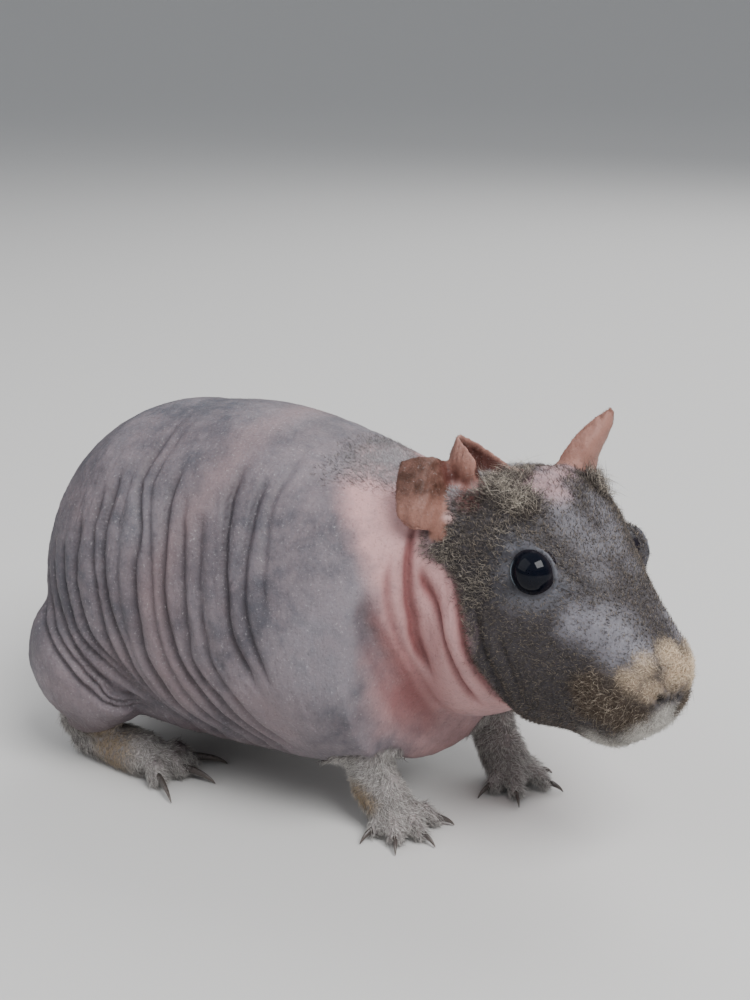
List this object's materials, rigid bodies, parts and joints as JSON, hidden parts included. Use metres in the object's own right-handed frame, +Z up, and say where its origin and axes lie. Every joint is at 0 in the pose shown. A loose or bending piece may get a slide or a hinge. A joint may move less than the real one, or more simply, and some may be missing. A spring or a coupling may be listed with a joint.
{
  "type": "skinny pig",
  "caption": "Life-size still model of a young skinny pig, the nearly hairless guinea pig, standing hunched on all four feet with its head turned a little to its right.",
  "frame": {"origin": "On the floor under the middle of the animal's bounding box.", "axes": "+X runs from the rump to the head, +Y to the animal's left, +Z up."},
  "size_m": [0.1736, 0.0838, 0.1008],
  "materials": {
    "grey_skin": "matt, wrinkled, with short fuzz",
    "pink_skin": "matt, folded bare skin",
    "foot_fur": "short wiry hair",
    "eye": "wet gloss",
    "claw": "smooth horn"
  },
  "bodies": {
    "root": {"torso": "grey_skin", "neck": "pink_skin", "head": "grey_skin", "ear_left": "pink_skin", "ear_right": "pink_skin", "eye_left": "eye", "eye_right": "eye", "foreleg_left": "grey_skin", "foreleg_right": "grey_skin", "forefoot_left": "foot_fur", "forefoot_right": "foot_fur", "hindleg_left": "grey_skin", "hindleg_right": "grey_skin", "hindfoot_left": "foot_fur", "hindfoot_right": "foot_fur", "claw_fore_left_1": "claw", "claw_fore_left_2": "claw", "claw_fore_left_3": "claw", "claw_fore_left_4": "claw", "claw_fore_right_1": "claw", "claw_fore_right_2": "claw", "claw_fore_right_3": "claw", "claw_fore_right_4": "claw", "claw_hind_left_1": "claw", "claw_hind_left_2": "claw", "claw_hind_left_3": "claw", "claw_hind_right_1": "claw", "claw_hind_right_2": "claw", "claw_hind_right_3": "claw"}
  },
  "joints": []
}
